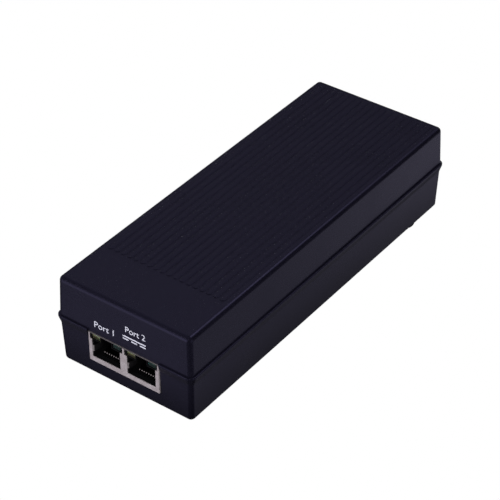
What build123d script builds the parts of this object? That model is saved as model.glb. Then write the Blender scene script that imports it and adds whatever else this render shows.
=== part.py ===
from build123d import *
import math
import os

# Power-over-Ethernet injector: a two-part plastic case with a pair of network ports at one
# end, a mains inlet at the other, and the power supply and port circuits on one board.
# Frame: X across, Y along with the ports at -Y, Z up, origin under the middle of the feet.

# ------------------------------------------------------------ driving dimensions, mm
# Case. The two halves meet at the seam, where the section is largest.
CASE_WIDTH = 60.0
CASE_LENGTH = 162.0
CASE_HEIGHT = 37.6
SEAM_HEIGHT = 20.9
CORNER_RADIUS = 1.9          # upright corners and the top's edges
BOTTOM_EDGE_RADIUS = 1.5
INNER_CORNER_RADIUS = 1.0
TOP_INSET = 0.59
BOTTOM_INSET = 0.65
WALL = 2.2
LIP_THICKNESS = 1.0
LIP_HEIGHT = 1.9
SEAM_CHAMFER = 0.2
BEAD_PROUD = 0.8
BEAD_ROUND = 0.3
BEAD_BROW = 0.9              # from the seam down to where the bead stands out most
BEAD_TAPER = 3.1             # from there down to where it meets the wall
BEAD_BITE = 0.2              # how far the taper runs on into the wall

# Ribs on the top face: broad and slightly crowned, with narrow grooves between them.
RIB_COUNT = 18
RIB_PITCH = 2.94
RIB_WIDTH = 2.5
RIB_HEIGHT = 0.25
RIB_CROWN = 0.16
RIB_ROUND = 0.07
RIB_ROOT = 0.5
RIB_NEAR_END = -57.4
RIB_FAR_END = 77.4

# Rubber feet. The pair under the ports stands a little further in.
FOOT_RADIUS = 5.0
FOOT_HEIGHT = 1.8
FOOT_SINK = 0.4
FOOT_ROUND = 0.6
FOOT_PLACES = [(21.9, -65.4), (-21.9, -65.4), (23.2, 64.2), (-23.2, 64.2)]

# Case screws, driven from below into bosses of the cover.
SCREW_X = 23.6
SCREW_Y = 74.6
SCREW_RADIUS = 1.48
SCREW_LENGTH = 12.0
SCREW_HEAD_RADIUS = 2.75
SCREW_HEAD_HEIGHT = 2.2
SCREW_SEAT = 6.0
PILLAR_RADIUS = 3.6
PILLAR_TOP = 12.0
CLEARANCE = 0.1
OPENING_GAP = 0.2            # round the jack and the inlet

# Rating label, blank.
LABEL_WIDTH = 38.0
LABEL_LENGTH = 62.0
LABEL_THICKNESS = 0.2
LABEL_SINK = 0.3

# Circuit board and what carries it. Heights are above the case's underside.
BOARD_BOTTOM = 5.5
BOARD_TOP = 7.1
BOARD_WIDTH = 54.0
BOARD_NEAR_END = -78.2
BOARD_FAR_END = 73.5
BOARD_CORNER_CUT = 5.2
LEAD_BOTTOM = 3.8
LEAD_RADIUS = 0.4
LEAD_HOLE_RADIUS = 0.55
TAB_HOLE_RADIUS = 1.1
CONTACT_HOLE_RADIUS = 0.45
SHEET_THICKNESS = 0.4
STANDOFF_RADIUS = 2.5
STANDOFF_PEG_RADIUS = 1.2
STANDOFF_PLACES = [(x, y) for x in (-22.5, 22.5) for y in (-42.0, 2.0, 37.0)]

# Twin network jack. Depths are behind its face, heights above the case's underside.
JACK_FACE_Y = -81.3
JACK_WIDTH = 31.8
JACK_DEPTH = 21.5
JACK_TOP = 19.9
JACK_OPENING_DEPTH = 6.5
SHEET_METAL = 0.3
SHIELD_LEG_DEPTHS = (11.0, 12.6)
PORT_PITCH = 15.875
PORT_CENTRES = (-PORT_PITCH / 2, PORT_PITCH / 2)
MOUTH_WIDTH = 12.8
MOUTH_BOTTOM = 9.1
MOUTH_TOP = 16.9
UPPER_MOUTH_TOP = 19.6
UPPER_MOUTH_OUTER = 15.2
UPPER_MOUTH_INNER = 0.4
CAVITY_WIDTH = 11.9
CAVITY_FLOOR = 9.2
CAVITY_TOP = 16.6
CAVITY_DEPTH = 12.6
LATCH_SLOT_WIDTH = 4.6
LATCH_SLOT_TOP = 19.0
HOUSING_DEPTH = 20.0
LED_OFFSET = 4.65
LED_WIDTH = 3.8
LED_HEIGHT = 2.4
LED_MIDDLE = 18.2
LED_RECESS = 0.6
LED_END = 8.0
FINGER_BOTTOM = 11.2
FINGER_TOP = 13.8
FINGER_DEPTH = 6.6
FINGER_BULGE = 0.95
FINGER_THICKNESS = 0.22

# Contact wires: a fixed terminal below, and a springy arm above that pivots at the bend.
CONTACT_COUNT = 8
CONTACT_PITCH = 1.016
CONTACT_WIDTH = 0.46
CONTACT_THICKNESS = 0.35
BEND_DEPTH = 4.2
BEND_HEIGHT = 9.6
BEND_RADIUS = 0.9
BEND_GAP = 0.06
ARM_SLOPE = 20.0
ARM_LENGTH = 9.6
SLOT_WIDTH = 0.66
SLOT_FLOOR = 8.45
CARRIER_NEAR = 2.3
CARRIER_FAR = 18.4
RISER_NEAR = 12.7
RISER_FAR = 15.0
RISER_TOP = 14.5
TERMINAL_ROWS = (16.4, 19.0)

# Mains inlet, the standard three-blade appliance inlet for 10 A.
INLET_FACE_Y = 81.4
INLET_WIDTH = 27.0
INLET_HEIGHT = 19.8
INLET_DEPTH = 20.4
INLET_MIDDLE = 20.0
INLET_CORNER_RADIUS = 2.2
INLET_CAVITY_WIDTH = 24.2
INLET_CAVITY_HEIGHT = 16.2
INLET_CAVITY_DEPTH = 16.4
INLET_CAVITY_CHAMFER = 4.8
INLET_FLANGE_WIDTH = 30.4
INLET_FLANGE_HEIGHT = 23.0
INLET_FLANGE_NEAR = 77.0
INLET_FLANGE_FAR = 78.5
BLADE_SPACING = 7.0
BLADE_RISE = 2.0
BLADE_WIDTH = 2.0
BLADE_HEIGHT = 4.0
BLADE_TIP_Y = 80.0
BLADE_LEG_THICKNESS = 1.2
SADDLE_NEAR = 75.2
SADDLE_FAR = 76.8
SADDLE_WIDTH = 24.0

# Derived planes.
CASE_Z = FOOT_HEIGHT
SEAM_Z = CASE_Z + SEAM_HEIGHT
TOP_Z = CASE_Z + CASE_HEIGHT
FLOOR_Z = CASE_Z + WALL
CEILING_Z = TOP_Z - WALL
BOARD_Z = CASE_Z + BOARD_TOP

SCREW_PLACES = [(x, y) for x in (-SCREW_X, SCREW_X) for y in (-SCREW_Y, SCREW_Y)]


# ------------------------------------------------------------ helpers
def slab(x, y, z):
    """Box between the low and high values of each pair."""
    size = [high - low for low, high in (x, y, z)]
    middle = [(high + low) / 2 for low, high in (x, y, z)]
    return Pos(*middle) * Box(*size)


def post(x, y, low, high, radius):
    """Upright cylinder."""
    return Pos(x, y, (low + high) / 2) * Cylinder(radius, high - low)


def posts(places, low, high, radius):
    return [post(x, y, low, high, radius) for x, y in places]


def tapered_block(outline, end_z, inset):
    """Block from an outline at the seam to end_z, smaller by inset on every side at its end."""
    height = abs(end_z - SEAM_Z)
    up = 1 if end_z > SEAM_Z else -1
    base = Plane(origin=(0, 0, SEAM_Z), x_dir=(1, 0, 0), z_dir=(0, 0, up))
    return extrude(base * outline, amount=height, taper=math.degrees(math.atan2(inset, height)))


def hollow(end_z, inset):
    """Room inside one half of the case, from the seam to its floor or ceiling."""
    outline = RectangleRounded(CASE_WIDTH - 2 * WALL, CASE_LENGTH - 2 * WALL, INNER_CORNER_RADIUS)
    return tapered_block(outline, end_z, inset)


def seam_ring(outer_inset, inner_inset, low, high):
    """Upright ring that follows the case's outline at the seam, inset by two distances."""
    rings = []
    for inset in (outer_inset, inner_inset):
        radius = max(CORNER_RADIUS - inset, INNER_CORNER_RADIUS)
        outline = RectangleRounded(CASE_WIDTH - 2 * inset, CASE_LENGTH - 2 * inset, radius)
        rings.append(extrude(Pos(0, 0, low) * outline, amount=high - low))
    return rings[0] - rings[1]


def jack_slab(x, depth, height):
    """Box in the jack's own depths and heights."""
    y = (JACK_FACE_Y + depth[0], JACK_FACE_Y + depth[1])
    return slab(x, y, (CASE_Z + height[0], CASE_Z + height[1]))


def around(centre, width):
    return (centre - width / 2, centre + width / 2)


def leads(places, top=BOARD_TOP + 1.0):
    """Round wire leads from a part's underside down through the board."""
    return posts(places, CASE_Z + LEAD_BOTTOM, CASE_Z + top, LEAD_RADIUS)


def pair(x, y, dx=0.0, dy=0.0):
    """Two places either side of a point."""
    return [(x - dx, y - dy), (x + dx, y + dy)]


# ------------------------------------------------------------ case
def jack_opening():
    half = JACK_WIDTH / 2 + OPENING_GAP
    y = (-CASE_LENGTH, JACK_FACE_Y + JACK_OPENING_DEPTH)
    return slab((-half, half), y, (BOARD_Z - OPENING_GAP, CASE_Z + JACK_TOP + CLEARANCE))


def jack_slot():
    """Open way through the bottom case's rim above the jack, filled by the cover's tongue."""
    half = JACK_WIDTH / 2 + OPENING_GAP
    return slab((-half, half), (-CASE_LENGTH, WALL - CASE_LENGTH / 2), (BOARD_Z, SEAM_Z + 1.0))


def jack_tongue():
    """Part of the cover's end wall that closes the way above the jack."""
    half = JACK_WIDTH / 2 + CLEARANCE
    low = CASE_Z + JACK_TOP + CLEARANCE
    return slab((-half, half), (-CASE_LENGTH / 2, WALL - CASE_LENGTH / 2), (low, SEAM_Z + 0.5))


def inlet_room(width, height, y):
    """Box about the inlet's middle, a little larger than a width and height of the inlet."""
    z = around(CASE_Z + INLET_MIDDLE, height + 2 * OPENING_GAP)
    return slab(around(0.0, width + 2 * OPENING_GAP), y, z)


def inlet_opening():
    """Way through the end wall, and the groove that holds the inlet's flange."""
    near = INLET_FLANGE_NEAR - CLEARANCE
    far = INLET_FLANGE_FAR + CLEARANCE
    through = inlet_room(INLET_WIDTH, INLET_HEIGHT, (far - 0.5, CASE_LENGTH))
    return through + inlet_room(INLET_FLANGE_WIDTH, INLET_FLANGE_HEIGHT, (near, far))


def top_ribs():
    """Round-ended bars along the top face, each crowned across its width."""
    radius = (RIB_WIDTH ** 2 / 4 + RIB_CROWN ** 2) / (2 * RIB_CROWN)
    length = RIB_FAR_END - RIB_NEAR_END
    bar = extrude(Rot(0, 0, 90) * SlotOverall(length, RIB_WIDTH), amount=RIB_ROOT + RIB_HEIGHT)
    crown = Pos(0, 0, RIB_ROOT + RIB_HEIGHT - radius) * Rot(90, 0, 0) * Cylinder(radius, length + 1)
    rib = bar & crown
    rib = fillet(rib.faces().sort_by(Axis.Z)[-1].edges(), RIB_ROUND)
    middle = (RIB_FAR_END + RIB_NEAR_END) / 2
    first = -(RIB_COUNT - 1) / 2 * RIB_PITCH
    z = TOP_Z - RIB_ROOT
    return [Pos(first + i * RIB_PITCH, middle, z) * rib for i in range(RIB_COUNT)]


def top_cover():
    shell = tapered_block(Rectangle(CASE_WIDTH, CASE_LENGTH), TOP_Z, TOP_INSET)
    levels = shell.edges().group_by(Axis.Z)
    shell = fillet(levels[1] + levels[2], CORNER_RADIUS)
    shell = chamfer(shell.edges().group_by(Axis.Z)[0], SEAM_CHAMFER)
    shell -= hollow(CEILING_Z, TOP_INSET)
    shell += top_ribs()
    shell += seam_ring(WALL - LIP_THICKNESS, WALL, SEAM_Z - LIP_HEIGHT, SEAM_Z + 1.0)
    boss_bottom = CASE_Z + PILLAR_TOP + CLEARANCE
    shell += posts(SCREW_PLACES, boss_bottom, CEILING_Z + 1.0, PILLAR_RADIUS)
    half = SADDLE_WIDTH / 2
    saddle_bottom = CASE_Z + INLET_MIDDLE + INLET_HEIGHT / 2 + 0.2
    shell += slab((-half, half), (SADDLE_NEAR, SADDLE_FAR), (saddle_bottom, CEILING_Z + 1.0))
    shell -= posts(SCREW_PLACES, boss_bottom - 1.0, boss_bottom + 10.0, SCREW_RADIUS + 0.02)
    shell += jack_tongue()
    return shell - jack_opening() - inlet_opening()


def bead():
    """Bead that stands proud just under the seam: a blunt brow above, tapered away below."""
    outline = RectangleRounded(CASE_WIDTH + 2 * BEAD_PROUD, CASE_LENGTH + 2 * BEAD_PROUD,
                               CORNER_RADIUS + BEAD_PROUD)
    widest = SEAM_Z - BEAD_BROW
    brow = extrude(Pos(0, 0, widest) * outline, amount=BEAD_BROW)
    brow = fillet(brow.edges().group_by(Axis.Z)[-1], BEAD_ROUND)
    below = Plane(origin=(0, 0, widest), x_dir=(1, 0, 0), z_dir=(0, 0, -1))
    slope = math.degrees(math.atan2(BEAD_PROUD + BEAD_BITE, BEAD_TAPER))
    return brow + extrude(below * outline, amount=BEAD_TAPER, taper=slope)


def bottom_case():
    tray = tapered_block(Rectangle(CASE_WIDTH, CASE_LENGTH), CASE_Z, BOTTOM_INSET)
    tray = fillet(tray.edges().group_by(Axis.Z)[1], CORNER_RADIUS)
    tray = fillet(tray.edges().group_by(Axis.Z)[0], BOTTOM_EDGE_RADIUS)
    tray += bead()
    tray -= hollow(FLOOR_Z, BOTTOM_INSET)
    lip_room = LIP_HEIGHT + CLEARANCE
    tray -= seam_ring(WALL - LIP_THICKNESS - CLEARANCE, WALL + 0.5, SEAM_Z - lip_room, SEAM_Z)
    tray += posts(SCREW_PLACES, FLOOR_Z - 0.5, CASE_Z + PILLAR_TOP, PILLAR_RADIUS)
    tray += posts(STANDOFF_PLACES, FLOOR_Z - 0.5, CASE_Z + BOARD_BOTTOM, STANDOFF_RADIUS)
    tray += posts(STANDOFF_PLACES, FLOOR_Z, BOARD_Z + 0.6, STANDOFF_PEG_RADIUS)
    half = SADDLE_WIDTH / 2
    saddle_top = CASE_Z + INLET_MIDDLE - INLET_HEIGHT / 2 - 0.2
    tray += slab((-half, half), (SADDLE_NEAR, SADDLE_FAR), (FLOOR_Z - 0.5, saddle_top))
    head_room = CASE_Z + SCREW_SEAT
    tray -= posts(SCREW_PLACES, 0.0, head_room, SCREW_HEAD_RADIUS + 0.35)
    tray -= posts(SCREW_PLACES, 0.0, SEAM_Z, SCREW_RADIUS + 0.22)
    tray -= posts(FOOT_PLACES, 0.0, CASE_Z + FOOT_SINK, FOOT_RADIUS + 0.15)
    label_room = RectangleRounded(LABEL_WIDTH + 0.6, LABEL_LENGTH + 0.6, 1.8)
    tray -= extrude(Pos(0, 0, CASE_Z) * label_room, amount=LABEL_SINK)
    return tray - jack_opening() - jack_slot() - inlet_opening()


def rubber_feet():
    foot = Pos(0, 0, (FOOT_HEIGHT + FOOT_SINK) / 2) * Cylinder(FOOT_RADIUS, FOOT_HEIGHT + FOOT_SINK)
    foot = fillet(foot.edges().group_by(Axis.Z)[0], FOOT_ROUND)
    return [Pos(x, y, 0) * foot for x, y in FOOT_PLACES]


def case_screws():
    """Pan-head thread-forming screws, heads down."""
    seat = CASE_Z + SCREW_SEAT
    head_bottom = seat - SCREW_HEAD_HEIGHT
    head = post(0, 0, head_bottom, seat, SCREW_HEAD_RADIUS)
    head = fillet(head.edges().group_by(Axis.Z)[0], 0.8)
    shank = post(0, 0, seat, seat + SCREW_LENGTH, SCREW_RADIUS)
    screw = head + chamfer(shank.edges().group_by(Axis.Z)[-1], 0.7)
    for x, y in ((1.7, 0.4), (0.4, 1.7)):
        screw -= slab((-x, x), (-y, y), (head_bottom - 0.1, head_bottom + 1.2))
    return [Pos(x, y, 0) * screw for x, y in SCREW_PLACES]


def rating_label():
    outline = RectangleRounded(LABEL_WIDTH, LABEL_LENGTH, 1.5)
    bottom = CASE_Z + LABEL_SINK - LABEL_THICKNESS
    return extrude(Pos(0, 0, bottom) * outline, amount=LABEL_THICKNESS)


# ------------------------------------------------------------ twin network jack
def side_finger():
    """Sprung strip of the shield that bulges into a port from its left wall, at x = 0."""
    middle = FINGER_DEPTH / 2
    outer_crest = (FINGER_BULGE, middle)
    inner_crest = (FINGER_BULGE - FINGER_THICKNESS, middle)
    front = (0.0, SHEET_METAL / 2)
    back = (0.0, FINGER_DEPTH)
    inner_front = (-FINGER_THICKNESS, SHEET_METAL / 2)
    inner_back = (-FINGER_THICKNESS, FINGER_DEPTH)
    outer = ThreePointArc(front, outer_crest, back)
    inner = ThreePointArc(inner_back, inner_crest, inner_front)
    closing = [Line(back, inner @ 0), Line(inner @ 1, front)]
    face = make_face([outer, inner] + closing)
    return extrude(face, amount=FINGER_TOP - FINGER_BOTTOM)


def jack_shield():
    half = JACK_WIDTH / 2
    outer = jack_slab((-half, half), (0, JACK_DEPTH), (BOARD_TOP, JACK_TOP))
    front_corners = outer.edges().filter_by(Axis.Z).group_by(Axis.Y)[0]
    outer = fillet(front_corners, 0.28)
    inside = half - SHEET_METAL
    shield = outer - jack_slab((-inside, inside), (SHEET_METAL, JACK_DEPTH - SHEET_METAL),
                               (BOARD_TOP - 1, JACK_TOP - SHEET_METAL))
    finger = side_finger()
    finger_z = CASE_Z + FINGER_BOTTOM
    for side, centre in zip((-1, 1), PORT_CENTRES):
        mouth = around(centre, MOUTH_WIDTH)
        shield -= jack_slab(mouth, (-1, 1), (MOUTH_BOTTOM, MOUTH_TOP))
        upper = sorted((side * UPPER_MOUTH_INNER, side * UPPER_MOUTH_OUTER))
        shield -= jack_slab(upper, (-1, 1), (MOUTH_TOP, UPPER_MOUTH_TOP))
        shield += Pos(mouth[0], JACK_FACE_Y, finger_z) * finger
        shield += Pos(mouth[1], JACK_FACE_Y, finger_z) * mirror(finger, about=Plane.YZ)
    for side in (-1, 1):
        x = sorted((side * inside, side * half))
        shield += jack_slab(x, SHIELD_LEG_DEPTHS, (LEAD_BOTTOM, BOARD_TOP + 1.0))
    return shield


def jack_housing():
    """Black plastic body with two plug cavities, their latch slots and the lamp channels."""
    half = JACK_WIDTH / 2 - SHEET_METAL - 0.05
    body = jack_slab((-half, half), (SHEET_METAL + 0.05, HOUSING_DEPTH),
                     (BOARD_TOP + 0.1, JACK_TOP - SHEET_METAL - 0.05))
    finger_z = (FINGER_BOTTOM - 0.3, FINGER_TOP + 0.3)
    lamp_z = around(LED_MIDDLE, LED_HEIGHT + 0.1)
    for centre in PORT_CENTRES:
        cavity = around(centre, CAVITY_WIDTH)
        body -= jack_slab(cavity, (-1, CAVITY_DEPTH), (CAVITY_FLOOR, CAVITY_TOP))
        body -= jack_slab(cavity, (CARRIER_NEAR - 0.1, JACK_DEPTH), (BOARD_TOP - 1, CAVITY_FLOOR))
        body -= jack_slab(cavity, (CAVITY_DEPTH - 1, RISER_FAR + 0.1), (CAVITY_FLOOR, RISER_TOP + 0.1))
        body -= jack_slab(around(centre, LATCH_SLOT_WIDTH), (-1, CAVITY_DEPTH - 0.6),
                          (CAVITY_TOP, LATCH_SLOT_TOP))
        body -= jack_slab(around(centre, MOUTH_WIDTH + 0.8), (-1, FINGER_DEPTH + 0.6), finger_z)
        for side in (-1, 1):
            lamp = around(centre + side * LED_OFFSET, LED_WIDTH + 0.1)
            body -= jack_slab(lamp, (-1, JACK_DEPTH), lamp_z)
    return body


def contact_x(centre):
    first = centre - (CONTACT_COUNT - 1) / 2 * CONTACT_PITCH
    return [first + i * CONTACT_PITCH for i in range(CONTACT_COUNT)]


def contact_row(i):
    return TERMINAL_ROWS[i % 2]


def contact_carriers():
    """Moulded floor of each port, with a slot for every wire and a comb behind the cavity."""
    carriers = []
    for centre in PORT_CENTRES:
        x = around(centre, CAVITY_WIDTH - 0.1)
        carrier = jack_slab(x, (CARRIER_NEAR, CARRIER_FAR), (BOARD_TOP + 0.1, CAVITY_FLOOR))
        carrier += jack_slab(x, (RISER_NEAR, RISER_FAR), (CAVITY_FLOOR - 0.5, RISER_TOP))
        for i, wire_x in enumerate(contact_x(centre)):
            slot = around(wire_x, SLOT_WIDTH)
            carrier -= jack_slab(slot, (0, JACK_DEPTH), (SLOT_FLOOR, CAVITY_FLOOR))
            carrier -= jack_slab(slot, (0, RISER_NEAR + 1.2), (SLOT_FLOOR, RISER_TOP + 1))
            if contact_row(i) < CARRIER_FAR:
                hole = around(contact_row(i), SLOT_WIDTH)
                carrier -= jack_slab(slot, hole, (0, CAVITY_FLOOR))
        carriers.append(carrier)
    return carriers


def wire_solid(x, outline):
    """Flat wire: an outline of (depth, height) edges, as wide as a contact, centred on x."""
    origin = (x - CONTACT_WIDTH / 2, JACK_FACE_Y, CASE_Z)
    side = Plane(origin=origin, x_dir=(0, 1, 0), z_dir=(1, 0, 0))
    return extrude(side * make_face(outline), amount=CONTACT_WIDTH)


def on_bend(radius, angle):
    """Point of the bend, the angle in degrees from straight back, turning upwards."""
    turn = math.radians(angle)
    return Vector(BEND_DEPTH + radius * math.cos(turn), BEND_HEIGHT + radius * math.sin(turn))


def bend_arc(radius, start, end):
    """Arc of the bend between two angles."""
    points = [on_bend(radius, angle) for angle in (start, (start + end) / 2, end)]
    return ThreePointArc(*points)


def sprung_arm():
    """Outline of a wire's springy part: the bend's upper quarter and the sloping arm."""
    start = 180.0 - math.degrees(BEND_GAP / BEND_RADIUS)
    end = 90.0 + ARM_SLOPE
    slope = math.radians(ARM_SLOPE)
    along = Vector(math.cos(slope), math.sin(slope)) * ARM_LENGTH
    outer = bend_arc(BEND_RADIUS, start, end)
    inner = bend_arc(BEND_RADIUS - CONTACT_THICKNESS, end, start)
    rest = Polyline(outer @ 1, (outer @ 1) + along, (inner @ 0) + along, inner @ 0)
    return [outer, rest, inner, Line(inner @ 1, outer @ 0)]


def fixed_terminal(row):
    """Outline of a wire's fixed part: the bend's lower quarter, the run and the leg."""
    outer = bend_arc(BEND_RADIUS, 180, 270)
    inner = bend_arc(BEND_RADIUS - CONTACT_THICKNESS, 270, 180)
    low = BEND_HEIGHT - BEND_RADIUS
    near = row - CONTACT_THICKNESS / 2
    far = row + CONTACT_THICKNESS / 2
    run = Polyline(outer @ 1, (near, low), (near, LEAD_BOTTOM), (far, LEAD_BOTTOM),
                   (far, low + CONTACT_THICKNESS), inner @ 0)
    return [outer, run, inner, Line(inner @ 1, outer @ 0)]


def sprung_contacts(centre):
    return [wire_solid(x, sprung_arm()) for x in contact_x(centre)]


def fixed_terminals(centre):
    return [wire_solid(x, fixed_terminal(contact_row(i))) for i, x in enumerate(contact_x(centre))]


def lamps(side):
    """Front lamp of each port on one side of its latch slot."""
    bodies = []
    for centre in PORT_CENTRES:
        x = around(centre + side * LED_OFFSET, LED_WIDTH)
        lamp = jack_slab(x, (LED_RECESS, LED_END), around(LED_MIDDLE, LED_HEIGHT))
        bodies.append(fillet(lamp.edges().group_by(Axis.Y)[0], 0.25))
    return bodies


def lamp_lead_places():
    places = []
    for centre in PORT_CENTRES:
        for side in (-1, 1):
            places += pair(centre + side * LED_OFFSET, JACK_FACE_Y + HOUSING_DEPTH + 0.6, dx=1.27)
    return places


def lamp_leads():
    """Two bent wires behind each lamp, back along the channel and down to the board."""
    wires = []
    half = 0.25
    for x, y in lamp_lead_places():
        back = (JACK_FACE_Y + LED_END, y + half)
        height = around(CASE_Z + LED_MIDDLE, 2 * half)
        run = slab((x - half, x + half), back, height)
        leg = slab((x - half, x + half), (y - half, y + half), (CASE_Z + LEAD_BOTTOM, height[1]))
        wires.append(run + leg)
    return wires


# ------------------------------------------------------------ mains inlet
def inlet_cavity_outline():
    """Outline of the inlet's well, with its two upper corners cut off."""
    half_width = INLET_CAVITY_WIDTH / 2
    half_height = INLET_CAVITY_HEIGHT / 2
    cut = INLET_CAVITY_CHAMFER
    points = [(-half_width, -half_height), (half_width, -half_height),
              (half_width, half_height - cut), (half_width - cut, half_height),
              (cut - half_width, half_height), (-half_width, half_height - cut)]
    outline = make_face(Polyline(*points, close=True))
    return fillet(outline.vertices(), 0.9)


def inlet_plane(y):
    """Plane across the case at y, seen from the far end, its x along -X and its y up."""
    return Plane(origin=(0, y, CASE_Z + INLET_MIDDLE), x_dir=(-1, 0, 0), z_dir=(0, 1, 0))


def blade_positions():
    """Across and up from the inlet's middle: line, neutral and earth."""
    return {"line": (-BLADE_SPACING, -BLADE_RISE), "neutral": (BLADE_SPACING, -BLADE_RISE),
            "earth": (0.0, BLADE_RISE)}


def inlet_housing():
    face = INLET_FACE_Y
    outline = RectangleRounded(INLET_WIDTH, INLET_HEIGHT, INLET_CORNER_RADIUS)
    body = extrude(inlet_plane(face - INLET_DEPTH) * outline, amount=INLET_DEPTH)
    flange = RectangleRounded(INLET_FLANGE_WIDTH, INLET_FLANGE_HEIGHT, INLET_CORNER_RADIUS)
    body += extrude(inlet_plane(INLET_FLANGE_NEAR) * flange,
                    amount=INLET_FLANGE_FAR - INLET_FLANGE_NEAR)
    rim = body.edges().group_by(Axis.Y)[-1]
    body = fillet(rim, 0.5)
    body -= extrude(inlet_plane(face - INLET_CAVITY_DEPTH) * inlet_cavity_outline(),
                    amount=INLET_CAVITY_DEPTH + 1)
    for x, rise in blade_positions().values():
        z = CASE_Z + INLET_MIDDLE + rise
        body -= slab(around(x, BLADE_WIDTH), (0, face - 1), around(z, BLADE_HEIGHT))
    return body


def inlet_blade(name, leg_y):
    """Flat blade through the housing's back wall, with a leg down into the board."""
    x, rise = blade_positions()[name]
    z = CASE_Z + INLET_MIDDLE + rise
    blade = slab(around(x, BLADE_WIDTH), (leg_y, BLADE_TIP_Y), around(z, BLADE_HEIGHT))
    tip = blade.edges().group_by(Axis.Y)[-1]
    blade = chamfer(tip, 0.6)
    depth = (leg_y, leg_y + BLADE_LEG_THICKNESS)
    leg = slab(around(x, BLADE_WIDTH), depth, (BOARD_Z + 1.0, z))
    pin = slab(around(x, 1.2), depth, (CASE_Z + LEAD_BOTTOM, BOARD_Z + 1.0))
    return blade + leg + pin


# ------------------------------------------------------------ board and power supply
LINE_LEG_Y = 58.6
EARTH_LEG_Y = 55.6

FUSE_PLACE = (19.5, 56.0)
VARISTOR_PLACE = (-19.5, 58.0)
FILTER_CAPACITOR_PLACE = (-13.5, 45.5)
CHOKE_PLACE = (7.0, 44.0)
BRIDGE_PLACE = (-6.0, 33.5)
BULK_PLACE = (13.5, 25.0)
SWITCH_PLACE = (-20.2, 20.0)
SAFETY_CAPACITOR_PLACE = (-9.0, 22.5)
TRANSFORMER_PLACE = (0.0, 0.5)
RECTIFIER_PLACE = (20.2, -18.0)
OUTPUT_CAPACITOR_PLACES = [(-18.0, -16.5), (-18.0, -28.5)]
OUTPUT_CHOKE_PLACE = (-4.5, -22.5)
ISOLATOR_PLACE = (17.5, 6.5)
SWITCH_CONTROLLER_PLACE = (-10.5, 13.8)
PORT_CONTROLLER_PLACE = (8.0, -27.0)
PORT_TRANSFORMER_PLACE = (0.0, -45.0)

SINK_THICKNESS = 1.6
SINK_X = 23.2
SINK_HEIGHT = 24.0
SINK_LENGTH = 26.0
SINK_PIN_SPACING = 18.0
TAB_HEIGHT = 13.5


def package_leads(x, y):
    """Three leads of an upright power package, in line along Y."""
    return [(x, y - 2.54), (x, y), (x, y + 2.54)]


def transformer_leads():
    x, y = TRANSFORMER_PLACE
    return [(x + dx, y + dy) for dx in (-7.5, -2.5, 2.5, 7.5) for dy in (-9.2, 9.2)]


def choke_leads():
    x, y = CHOKE_PLACE
    return [(x + dx, y + dy) for dx in (-4, 4) for dy in (-6, 6)]


def isolator_leads():
    x, y = ISOLATOR_PLACE
    return [(x + dx, y + dy) for dx in (-3.8, 3.8) for dy in (-1.27, 1.27)]


def lead_places():
    """Every round lead that passes through the board, by part."""
    places = {
        "mains_fuse": pair(*FUSE_PLACE, dy=11.4),
        "surge_varistor": pair(*VARISTOR_PLACE, dx=3.75),
        "filter_capacitor": pair(*FILTER_CAPACITOR_PLACE, dx=7.5),
        "choke": choke_leads(),
        "bridge": [(BRIDGE_PLACE[0] + dx, BRIDGE_PLACE[1]) for dx in (-5.7, -1.9, 1.9, 5.7)],
        "bulk": pair(*BULK_PLACE, dx=3.75),
        "switch": package_leads(*SWITCH_PLACE),
        "safety_capacitor": pair(*SAFETY_CAPACITOR_PLACE, dx=3.75),
        "transformer": transformer_leads(),
        "rectifier": package_leads(*RECTIFIER_PLACE),
        "output_choke": pair(*OUTPUT_CHOKE_PLACE, dx=2.5),
        "isolator": isolator_leads(),
    }
    for number, place in enumerate(OUTPUT_CAPACITOR_PLACES):
        places[f"output_capacitor_{number}"] = pair(*place, dx=2.5)
    return places


LEAD_PLACES = lead_places()


def sink_slots():
    """Places of the heat sinks' solder pins."""
    places = []
    for x, (_, y) in ((-SINK_X, SWITCH_PLACE), (SINK_X, RECTIFIER_PLACE)):
        places += pair(x, y, dy=SINK_PIN_SPACING / 2)
    return places


def blade_pins():
    """Places of the pins below the inlet's blades."""
    places = []
    for name, leg_y in (("line", LINE_LEG_Y), ("neutral", LINE_LEG_Y), ("earth", EARTH_LEG_Y)):
        places.append((blade_positions()[name][0], leg_y + BLADE_LEG_THICKNESS / 2))
    return places


def main_board():
    y = (BOARD_NEAR_END, BOARD_FAR_END)
    half = BOARD_WIDTH / 2
    z = (CASE_Z + BOARD_BOTTOM, BOARD_Z)
    board = slab((-half, half), y, z)
    holes = [(place, LEAD_HOLE_RADIUS) for place in lamp_lead_places()]
    for places in LEAD_PLACES.values():
        holes += [(place, LEAD_HOLE_RADIUS) for place in places]
    holes += [(place, BOARD_CORNER_CUT) for place in SCREW_PLACES]
    holes += [(place, STANDOFF_PEG_RADIUS + 0.15) for place in STANDOFF_PLACES]
    holes += [(place, TAB_HOLE_RADIUS) for place in sink_slots() + blade_pins()]
    shield_leg_y = JACK_FACE_Y + sum(SHIELD_LEG_DEPTHS) / 2
    for side in (-1, 1):
        holes.append(((side * (JACK_WIDTH - SHEET_METAL) / 2, shield_leg_y), TAB_HOLE_RADIUS))
    for centre in PORT_CENTRES:
        for i, x in enumerate(contact_x(centre)):
            holes.append(((x, JACK_FACE_Y + contact_row(i)), CONTACT_HOLE_RADIUS))
    return board - [post(x, y, z[0] - 1, z[1] + 1, radius) for (x, y), radius in holes]


def insulation_sheet():
    """Thin sheet between the floor and the cut leads under the board."""
    sheet = slab((-26.0, 26.0), (-76.5, 73.0), (FLOOR_Z, FLOOR_Z + SHEET_THICKNESS))
    cuts = posts(SCREW_PLACES, 0, SEAM_Z, BOARD_CORNER_CUT)
    cuts += posts(STANDOFF_PLACES, 0, SEAM_Z, STANDOFF_RADIUS + 0.3)
    return sheet - cuts


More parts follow.
